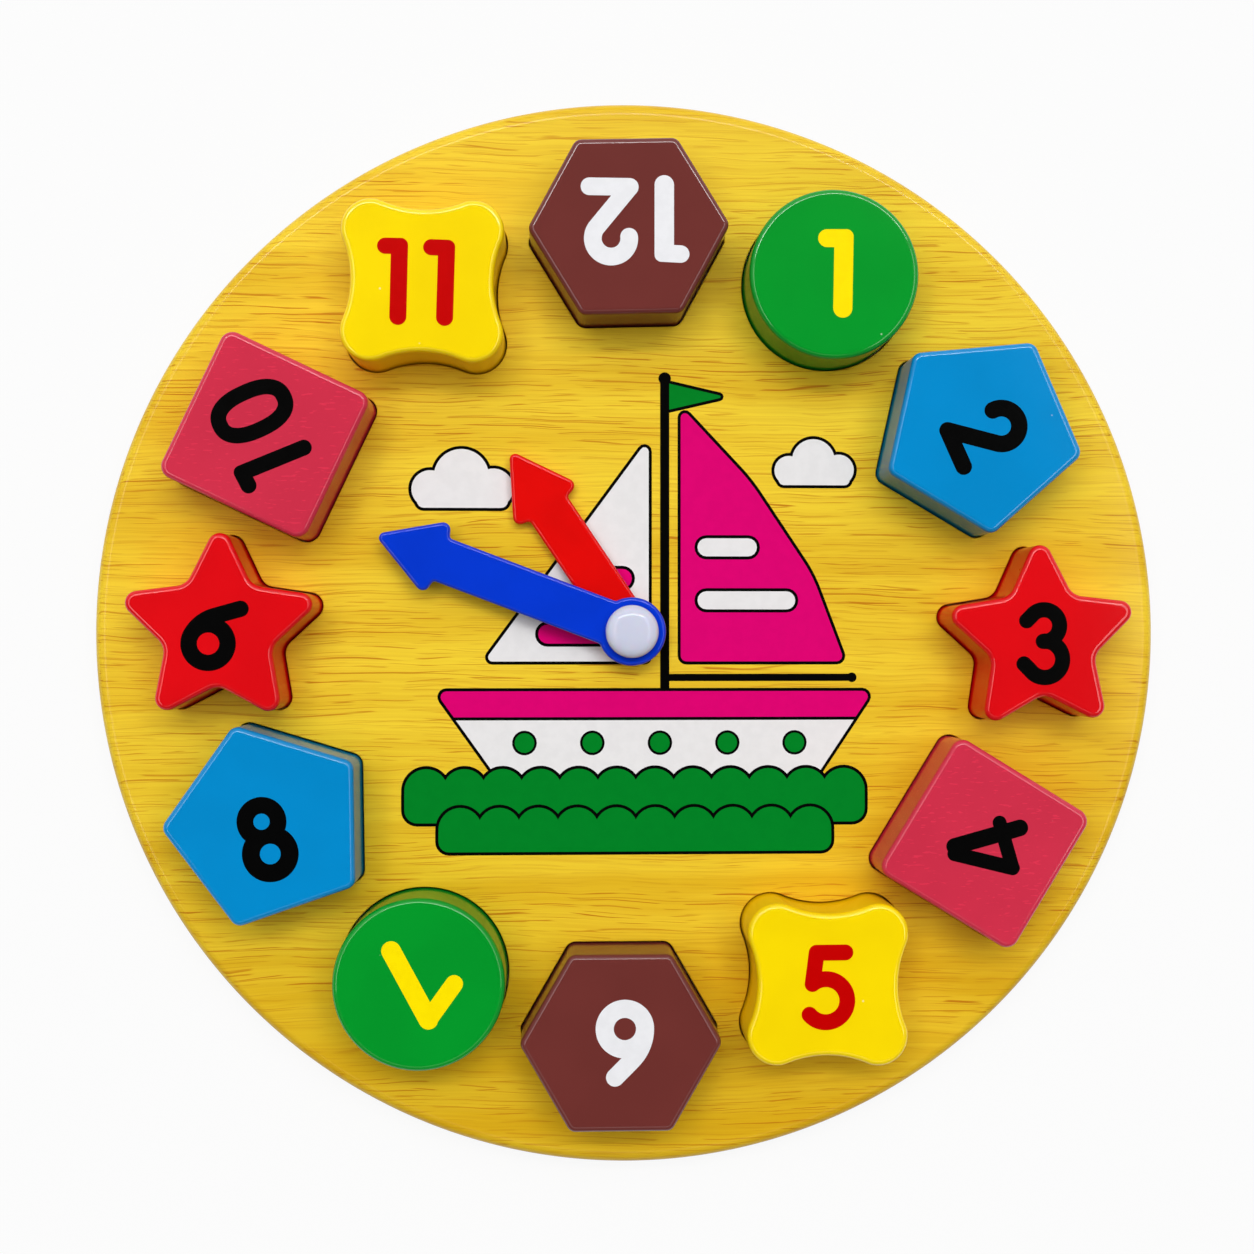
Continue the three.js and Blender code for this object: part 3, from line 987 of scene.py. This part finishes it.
class Finish:
    """A material whose patterns read Object coordinates. A pattern's fineness is given in cells to a
    metre, along X and across it."""

    def __init__(self, name):
        self.material = bpy.data.materials.new(name)
        self.material.use_nodes = True
        self.tree = self.material.node_tree
        self.shader = self.tree.nodes["Principled BSDF"]
        self.coordinates = node(self.tree, "ShaderNodeTexCoord").outputs["Object"]

    def stretched(self, along, across, source=None):
        values = {0: source or self.coordinates, 1: (along, across, across)}
        return output(self.tree, "ShaderNodeVectorMath", values, operation="MULTIPLY")

    def noise(self, along, across, detail=2.0, roughness=0.5, source=None):
        values = {"Vector": self.stretched(along, across, source), "Scale": 1.0}
        values |= {"Detail": detail, "Roughness": roughness}
        return Field(self.tree, node(self.tree, "ShaderNodeTexNoise", values).outputs["Fac"])

    def specks(self, cells, radius, few):
        """Round specks: near a cell's point, in those few cells whose random number is high."""
        values = {"Vector": self.stretched(cells, cells), "Scale": 1.0}
        made = node(self.tree, "ShaderNodeTexVoronoi", values).outputs
        near = Field(self.tree, made["Distance"]).ramp(radius, radius * 0.4)
        chance = output(self.tree, "ShaderNodeSeparateColor", {"Color": made["Color"]})
        return near * Field(self.tree, chance).above(few)

    def facing_up(self):
        """One where the surface faces up and nought on its sides."""
        return split(self.tree, node(self.tree, "ShaderNodeNewGeometry").outputs["Normal"])[2]

    def mix(self, factor, first, second):
        values = {0: factor, 6: first, 7: second}
        return node(self.tree, "ShaderNodeMix", values, data_type="RGBA").outputs[2]

    def mix_shaders(self, factor, first, second):
        return output(self.tree, "ShaderNodeMixShader", {0: factor, 1: first, 2: second})

    def bump(self, height, distance, strength, **more):
        values = {"Height": height, "Distance": distance, "Strength": strength, **more}
        return output(self.tree, "ShaderNodeBump", values)

    def surface(self, values):
        """The material, once the shader's inputs have these values."""
        for label, value in values.items():
            feed(self.tree, value, self.shader.inputs[label])
        return self.material


def grain_lines(finish, grain, across, count, width):
    """Thin lines along X, count to a metre, each wandering a little. width is a share of their pitch."""
    wander = finish.noise(22, count * 0.4, 1.0, source=grain) * 2.4
    place = (across * count + wander).maths("FRACT") - 0.5
    return place.maths("ABSOLUTE").ramp(width, width * 0.4)


def stained_wood(settings):
    """Wood with dash-like pores along X, stained yellow under a clear lacquer."""
    finish = Finish("stained_wood")
    drift = finish.noise(14, 20) - 0.5
    ripple = finish.noise(70, 160, 1.0) - 0.5
    x, y, z = split(finish.tree, finish.coordinates)
    bent = y + drift * 0.006 + ripple * 0.0012
    grain = output(finish.tree, "ShaderNodeCombineXYZ", {"X": x, "Y": bent, "Z": z})
    bands = finish.noise(7, 90, 4.0, 0.6, grain).ramp(0.34, 0.70)
    fibres = finish.noise(28, 2600, source=grain).ramp(0.34, 0.68)
    coarse = grain_lines(finish, grain, bent, 620.0, 0.085)
    fine = grain_lines(finish, grain, bent, 1130.0, 0.13)
    lines = (coarse + fine * 0.75).clamped(0.0, 1.0)
    breaks = finish.noise(90, 1000, 1.0, source=grain).ramp(0.45, 0.53)
    clusters = finish.noise(14, 170, source=grain).ramp(0.34, 0.62)
    pores = lines * breaks * (clusters * 0.75 + 0.25) * finish.facing_up().ramp(0.5, 0.95)
    light, deep = shaded(settings.light_stain), shaded(settings.deep_stain)
    dark = shaded(settings.pore_stain)
    sunk = (-y).ramp(0.0, 0.13)
    colour = finish.mix((bands * 0.7 + sunk * 0.7).clamped(0.0, 1.0), light, deep)
    colour = finish.mix(fibres * 0.16, colour, dark)
    looks = {
        "Base Color": finish.mix(pores * 0.9, colour, dark),
        "Roughness": pores * 0.1 + 0.4,
        "Normal": finish.bump(pores, 0.03 * MM, 0.4),
        "Coat Weight": 0.35,
        "Coat Roughness": 0.1,
        "Specular IOR Level": 0.06,
    }
    return finish.surface(looks)


def plywood(settings, thickness):
    """Pale sanded plywood: grain along X on its faces and layers along its edge."""
    finish = Finish("plywood")
    height = split(finish.tree, finish.coordinates)[2] / thickness
    wobble = finish.noise(60, 60) * 0.12
    middle = (height + wobble - 0.56).maths("ABSOLUTE").ramp(0.19, 0.15)
    face = finish.noise(14, 260, 4.0).ramp(0.3, 0.75)
    fibres = finish.noise(60, 1800, 3.0).ramp(0.45, 0.8)
    upright = finish.facing_up().maths("ABSOLUTE").ramp(0.6, 0.3)
    core = shaded(settings.ply_core)
    colour = finish.mix(face * 0.4, shaded(settings.ply_face), shaded(settings.ply_face, 0.78))
    colour = finish.mix(fibres * 0.35, colour, core)
    looks = {
        "Base Color": finish.mix(middle * upright * 0.85, colour, core),
        "Roughness": fibres * 0.1 + 0.62,
        "Normal": finish.bump(fibres, 0.05 * MM, 0.5),
    }
    return finish.surface(looks)


def lacquer(name, colour, flecks):
    """Gloss lacquer over wood: slight unevenness, a few pale specks, and flecks that are painted glints.
    It is thinner on the block's sides, where it has less gloss and its colour is warmed with painted
    bounce light from the yellow board."""
    finish = Finish(name)
    cloudy = finish.noise(60, 60).ramp(0.3, 0.7)
    base = finish.mix(cloudy, shaded(colour, 0.96), shaded(colour, 1.03))
    base = finish.mix(finish.specks(260, 0.07, 0.93) * 0.35, base, (1.0, 1.0, 1.0, 1.0))
    steep = finish.facing_up().ramp(0.92, 0.35)
    red, green, blue, _ = shaded(colour)
    # Painted bounce light: on the steep sides green and blue drop a little, a painted warm reflection of
    # the yellow board
    base = finish.mix(steep, base, (red, green * 0.93, blue * 0.93, 1.0))
    peel = finish.noise(300, 300)
    relief = gloss_relief = finish.bump(peel, 0.03 * MM, 0.25)
    if flecks:
        # The lighter flecks are painted glints; their bump is real relief
        glint_streaks = finish.noise(500, 2400, 1.0).ramp(0.64, 0.70)
        base = finish.mix(glint_streaks * flecks, base, shaded(colour, 1.5))
        relief = finish.bump(glint_streaks, 0.02 * MM, 0.5, Normal=relief)
    looks = {
        "Base Color": base,
        "Roughness": peel * 0.1 + 0.25,
        "Normal": relief,
        "Coat Normal": gloss_relief,
        "Coat Weight": steep * -0.5 + 1.0,
        "Coat Roughness": 0.03,
        "Coat IOR": 1.58,
        "Specular IOR Level": 0.02,
    }
    return finish.surface(looks)


def moulded(name, colour, roughness=0.35, coat=0.9, glow=0.0):
    """Moulded plastic: faint flow marks in colour and gloss."""
    finish = Finish(name)
    flow = finish.noise(90, 90, 3.0)
    looks = {
        "Base Color": finish.mix(flow.ramp(0.3, 0.7), shaded(colour, 0.95), shaded(colour, 1.04)),
        "Roughness": flow * 0.1 + roughness - 0.05,
        "Normal": finish.bump(finish.noise(1500, 1500), 0.01 * MM, 0.4),
        "Coat Weight": coat,
        "Coat Roughness": 0.04,
        "Specular IOR Level": 0.03,
        "Subsurface Weight": glow,
        "Subsurface Scale": 0.002,
    }
    return finish.surface(looks)


def ink(name, colour):
    """Screen-printed ink under lacquer, a little uneven in tone."""
    finish = Finish(name)
    cover = finish.noise(500, 500).ramp(0.3, 0.7)
    looks = {
        "Base Color": finish.mix(cover, shaded(colour, 0.975), shaded(colour, 1.015)),
        "Roughness": cover * 0.06 + 0.3,
        "Normal": finish.bump(cover, 0.002 * MM, 0.3),
        "Coat Weight": 0.7,
        "Coat Roughness": 0.05,
        "Specular IOR Level": 0.02,
    }
    return finish.surface(looks)


# Operators


def mount(piece, body, slot, *nodes):
    """Lets a piece ride on a body, in place of the CAD nodes named, which it hides. The slot argument is
    not used.
    """
    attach(piece, body)
    if nodes:
        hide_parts(*nodes)


class CLOCK_OT_boards(bpy.types.Operator):
    """Make the face board with its recesses and the plywood back board"""

    bl_idname = "clock.boards"
    bl_label = "Boards"

    def execute(self, context):
        board, blocks = context.scene.clock_board, context.scene.clock_blocks
        low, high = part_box("face_board")
        loops = [(outline(circle(high.x), spacing=1.1 * MM), False)]
        loops += [(points[::-1], True) for points in block_points(blocks, board.recess_clearance)]
        loops.append((outline(circle(board.bore))[::-1], True))
        face = rounded_slab(
            "face_board_wood",
            loops,
            stained_wood(board),
            top=high.z,
            base=low.z,
            upper_edge=board.rim_rounding,
            lower_edge=GLUED_EDGE,
            hole_upper=board.recess_edge,
            hole_lower=GLUED_EDGE,
            edge_steps=10,
        )
        mount(face, "board", "face_wood", "face_board")
        low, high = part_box("back_board")
        cap_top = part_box("rear_cap")[1].z
        corners = [
            (board.bore, cap_top, 0.0),
            (board.counterbore, cap_top, 0.0),
            (board.counterbore, low.z, board.recess_edge),
            (high.x, low.z, board.back_rounding),
            (high.x, high.z, GLUED_EDGE),
            (board.bore, high.z, 0.0),
        ]
        finish = plywood(board, high.z - low.z)
        back = turned("back_board_ply", rounded_corners(corners), finish, steps=360)
        mount(back, "board", "back_wood", "back_board")
        return {"FINISHED"}


class CLOCK_OT_blocks(bpy.types.Operator):
    """Make the twelve lacquered blocks"""

    bl_idname = "clock.blocks"
    bl_label = "Blocks"

    def execute(self, context):
        blocks = context.scene.clock_blocks
        lacquers = {}
        for name in sorted({name for _, name, _ in BLOCKS}):
            flecks = blocks.flecks if name == "pink" else 0.0
            lacquers[name] = lacquer(f"lacquer_{name}", getattr(blocks, name), flecks)
        for hour, ((_, name, _), points) in enumerate(zip(BLOCKS, block_points(blocks)), 1):
            body = f"block_{hour:02d}"
            low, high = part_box(body)
            piece = rounded_slab(
                f"{body}_body",
                [(points, False)],
                lacquers[name],
                top=high.z - context.scene.clock_numbers.relief,
                base=low.z,
                upper_edge=blocks.upper_edge,
                lower_edge=blocks.lower_edge,
                edge_steps=10,
            )
            mount(piece, body, f"block_{name}", body)
        return {"FINISHED"}


class CLOCK_OT_numbers(bpy.types.Operator):
    """Print the twelve numbers on the blocks"""

    bl_idname = "clock.numbers"
    bl_label = "Numbers"

    def execute(self, context):
        settings = context.scene.clock_numbers
        inks = {}
        for name in ("white", "yellow", "black", "red"):
            inks[name] = ink(f"number_ink_{name}", getattr(settings, name))
        printed = zip(numbers(), node_places())
        for hour, ((colour, angle, polygons), place) in enumerate(printed, 1):
            body = f"block_{hour:02d}"
            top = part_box(body)[1].z
            base = top - settings.relief - settings.depth
            spots, shown = ink_regions([(colour, polygons)])
            flat = placed([spot * MM for spot in spots], place, math.radians(angle))
            piece = ink_piece(f"{body}_number", flat, shown[colour], base, top, inks[colour])
            mount(piece, body, f"ink_{colour}")
        return {"FINISHED"}


class CLOCK_OT_picture(bpy.types.Operator):
    """Print the sailing boat on the face board"""

    bl_idname = "clock.picture"
    bl_label = "Picture"

    def execute(self, context):
        settings = context.scene.clock_picture
        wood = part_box("face_board")[1].z
        base, top = wood - settings.depth, wood + settings.relief
        spots, shown = ink_regions(boat_picture(settings.line / MM))
        flat = [spot * MM for spot in spots]
        for name, triangles in sorted(shown.items()):
            finish = ink(f"picture_ink_{name}", getattr(settings, name))
            piece = ink_piece(f"picture_{name}", flat, triangles, base, top, finish)
            mount(piece, "board", f"ink_{name}")
        return {"FINISHED"}


class CLOCK_OT_hands(bpy.types.Operator):
    """Make the red hour hand and the blue minute hand"""

    bl_idname = "clock.hands"
    bl_label = "Hands"

    def execute(self, context):
        settings = context.scene.clock_hands
        centre = Vector((0, 0))
        bore = outline(circle(context.scene.clock_board.bore), spacing=0.3 * MM)[::-1]
        for name, angle, colour in (
            ("hour_hand", settings.hour_turn, "red"),
            ("minute_hand", settings.minute_turn, "blue"),
        ):
            low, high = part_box(name)
            shape = outline(hand_outline(settings, hand_length(name, settings)))
            piece = rounded_slab(
                f"{name}_body",
                [(placed(shape, centre, angle), False), (bore, True)],
                moulded(f"{colour}_plastic", getattr(settings, colour)),
                top=high.z,
                base=low.z,
                upper_edge=settings.edge,
                lower_edge=settings.edge,
                hole_upper=settings.bore_edge,
                hole_lower=settings.bore_edge,
                edge_steps=6,
            )
            mount(piece, name, f"hand_{colour}", name)
        return {"FINISHED"}


class CLOCK_OT_pivot(bpy.types.Operator):
    """Make the domed pin, its rear cap and the two washers"""

    bl_idname = "clock.pivot"
    bl_label = "Pivot"

    def execute(self, context):
        pivot, bore = context.scene.clock_pivot, context.scene.clock_board.bore
        white = moulded("white_plastic", pivot.head_white, 0.16, 0.6, 0.25)
        matt = moulded("natural_plastic", pivot.washer_white, 0.5, 0.0)
        low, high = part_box("pivot_pin")
        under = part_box("minute_hand")[1].z + pivot.head_clearance
        pin = turned("pivot_pin_dome", self.pin_profile(pivot, low.z, under, high.z), white)
        mount(pin, "board", "pin_plastic", "pivot_pin")
        low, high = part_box("rear_cap")
        floor = low.z + pivot.cap_floor
        edge = pivot.edge
        corners = [
            (0.0, low.z, 0.0),
            (high.x, low.z, 2 * edge),
            (high.x, high.z, edge),
            (bore, high.z, edge),
            (bore, floor, 0.0),
            (0.0, floor, 0.0),
        ]
        cap = turned("rear_cap_button", rounded_corners(corners), white)
        mount(cap, "board", "pin_plastic", "rear_cap")
        for name in ("board_washer", "hand_washer"):
            low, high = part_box(name)
            corners = [(bore, low.z), (high.x, low.z), (high.x, high.z), (bore, high.z)]
            ring = turned(f"{name}_ring", rounded_corners([(*c, edge) for c in corners]), matt)
            mount(ring, "board", "washer_plastic", name)
        return {"FINISHED"}

    def pin_profile(self, pivot, foot, under, top):
        """A chamfered shank and a domed head, as (radius, height) points from the foot up."""
        shank, head = pivot.shank_radius, pivot.head_radius
        profile = [
            (0.0, foot),
            (shank - pivot.shank_chamfer, foot),
            (shank, foot + pivot.shank_chamfer),
            (shank, under),
            (head - pivot.edge, under),
            (head, under + pivot.edge),
        ]
        crown = under + pivot.head_rim
        power = 2 / pivot.fullness
        steps = 32
        for i in range(steps):
            angle = QUARTER_TURN * i / steps
            rise = math.sin(angle) ** power * (top - crown)
            profile.append((math.cos(angle) ** power * head, crown + rise))
        return [*profile, (0.0, top)]


def look_at(thing, eye, target, up):
    """Puts a camera or lamp at eye, facing target, with up towards the top of its view."""
    back = (Vector(eye) - Vector(target)).normalized()
    right = Vector(up).cross(back).normalized()
    rotation = Matrix((right, back.cross(right), back)).transposed().to_4x4()
    thing.matrix_world = Matrix.Translation(eye) @ rotation


# Lamps: the setting and the share of it that a lamp gives, its tilt from straight above and its bearing
# in degrees, and its width and height in metres. The fill lamp gives no reflection.
LAMPS = (
    ("fill_lamp", "fill", 1.0, 18, 90, 3.2, 2.6),
    ("key_lamp", "key", 1.0, 27, 90, 2.2, 0.2),
    ("left_lamp", "side", 1.0, 28, 176, 1.4, 0.36),
    ("right_lamp", "side", 0.88, 28, 4, 1.4, 0.36),
    ("front_lamp", "side", 0.3, 28, 270, 1.4, 0.3),
)
LAMP_DISTANCE = 2.2

# The camera's place and the point that it looks at
EYE = Vector((-12.62, -1.12, 317.0)) * MM
TARGET = Vector((-0.824, 0.955, 9.0)) * MM

FLOOR_REACH = 6.0


def softbox(name, radiance, tilt, bearing, width, height):
    """A rectangular lamp that faces the board."""
    lamp = bpy.data.lights.new(name, "AREA")
    lamp.shape = "RECTANGLE"
    lamp.size = width
    lamp.size_y = height
    lamp.energy = radiance * math.pi * width * height
    made = new_object(name, lamp)
    tilt, bearing = math.radians(tilt), math.radians(bearing)
    out = Vector((*polar(math.sin(tilt), bearing), math.cos(tilt)))
    look_at(made, out * LAMP_DISTANCE, (0, 0, 0), (0, 0, 1))
    made.visible_glossy = name != "fill_lamp"


class CLOCK_OT_stage(bpy.types.Operator):
    """Set the floor, the soft light and the camera"""

    bl_idname = "clock.stage"
    bl_label = "Stage"

    def execute(self, context):
        settings = context.scene.clock_stage
        scene = context.scene
        self.lay_floor(settings)
        self.light_sky(scene, settings)
        for name, setting, portion, *place in LAMPS:
            softbox(name, getattr(settings, setting) * portion, *place)
        lens = bpy.data.cameras.new("camera")
        lens.sensor_width = 36.0
        lens.lens = settings.lens
        lens.clip_start = 0.01
        camera = new_object("camera", lens)
        look_at(camera, EYE, TARGET, (0, 1, 0))
        scene.camera = camera
        scene.view_settings.view_transform = "Standard"
        return {"FINISHED"}

    def lay_floor(self, settings):
        """A pale floor that looks white to the camera and is clear from below."""
        finish = Finish("floor_paper")
        tone = finish.noise(3, 3, 1.0).ramp(0.2, 0.8)
        colour = finish.mix(tone, shaded(settings.floor, 0.99), shaded(settings.floor))
        finish.surface({"Base Color": colour, "Roughness": 0.9, "Specular IOR Level": 0.0})
        seen = seen_by(finish.tree, "Camera", "Glossy", "Transmission")
        white = output(finish.tree, "ShaderNodeEmission")
        lit = finish.mix_shaders(seen * settings.backdrop, finish.shader.outputs[0], white)
        underside = node(finish.tree, "ShaderNodeNewGeometry").outputs["Backfacing"]
        clear = output(finish.tree, "ShaderNodeBsdfTransparent")
        sided = finish.mix_shaders(underside, lit, clear)
        feed(finish.tree, sided, finish.tree.nodes["Material Output"].inputs["Surface"])
        mesh = bpy.data.meshes.new("floor")
        turns = ((-1, -1), (1, -1), (1, 1), (-1, 1))
        corners = [(x * FLOOR_REACH, y * FLOOR_REACH, 0) for x, y in turns]
        mesh.from_pydata(corners, [], [(0, 1, 2, 3)])
        mesh.materials.append(finish.material)
        new_object("floor", mesh)

    def light_sky(self, scene, settings):
        """A sky with a bright band round a dark zenith, brightest behind twelve o'clock. It is white to
        the camera, and to reflections near the horizon."""
        world = bpy.data.worlds.new("studio")
        world.use_nodes = True
        tree = world.node_tree
        direction = node(tree, "ShaderNodeTexCoord").outputs["Generated"]
        _, upwards, height = split(tree, direction)
        band = height.ramp(0.22, 0.55) * height.ramp(0.95, 0.90)
        band = band * (upwards * 1.8 + 0.85).clamped(0.3, 2.6)
        strength = height.ramp(0.14, 0.01) * settings.sky_horizon
        strength = strength + band * settings.sky_ring + settings.sky_zenith
        strength = strength + height.ramp(-0.3, -0.6) * settings.sky_below
        mirrored = seen_by(tree, "Glossy", "Transmission") * height.ramp(0.12, 0.08)
        seen = mirrored.maths("MAXIMUM", seen_by(tree, "Camera"))
        background = tree.nodes["Background"].inputs
        feed(tree, seen + (seen * -1.0 + 1.0) * strength, background["Strength"])
        background["Color"].default_value = (1.0, 1.0, 1.0, 1.0)
        scene.world = world


class CLOCK_PT_panel(bpy.types.Panel):
    """Lists the steps that build the clock and the sizes they use"""

    bl_idname = "CLOCK_PT_panel"
    bl_label = "Wooden puzzle clock"
    bl_space_type = "VIEW_3D"
    bl_region_type = "UI"
    bl_category = "Clock"

    def draw(self, context):
        for operator, name, _ in STEPS:
            column = self.layout.box().column()
            column.operator(operator.bl_idname)
            settings = getattr(context.scene, name)
            for setting in settings.__annotations__:
                column.prop(settings, setting)


STEPS = (
    (CLOCK_OT_boards, "clock_board", ClockBoardSettings),
    (CLOCK_OT_blocks, "clock_blocks", ClockBlockSettings),
    (CLOCK_OT_numbers, "clock_numbers", ClockNumberSettings),
    (CLOCK_OT_picture, "clock_picture", ClockPictureSettings),
    (CLOCK_OT_hands, "clock_hands", ClockHandSettings),
    (CLOCK_OT_pivot, "clock_pivot", ClockPivotSettings),
    (CLOCK_OT_stage, "clock_stage", ClockStageSettings),
)


def register():
    for operator, name, group in STEPS:
        bpy.utils.register_class(group)
        bpy.utils.register_class(operator)
        setattr(bpy.types.Scene, name, PointerProperty(type=group))
    bpy.utils.register_class(CLOCK_PT_panel)


def unregister():
    bpy.utils.unregister_class(CLOCK_PT_panel)
    for operator, name, group in reversed(STEPS):
        delattr(bpy.types.Scene, name)
        bpy.utils.unregister_class(operator)
        bpy.utils.unregister_class(group)


def main():
    register()
    for operator, *_ in STEPS:
        getattr(bpy.ops.clock, operator.bl_idname.split(".")[1])()


if __name__ == "__main__":
    main()
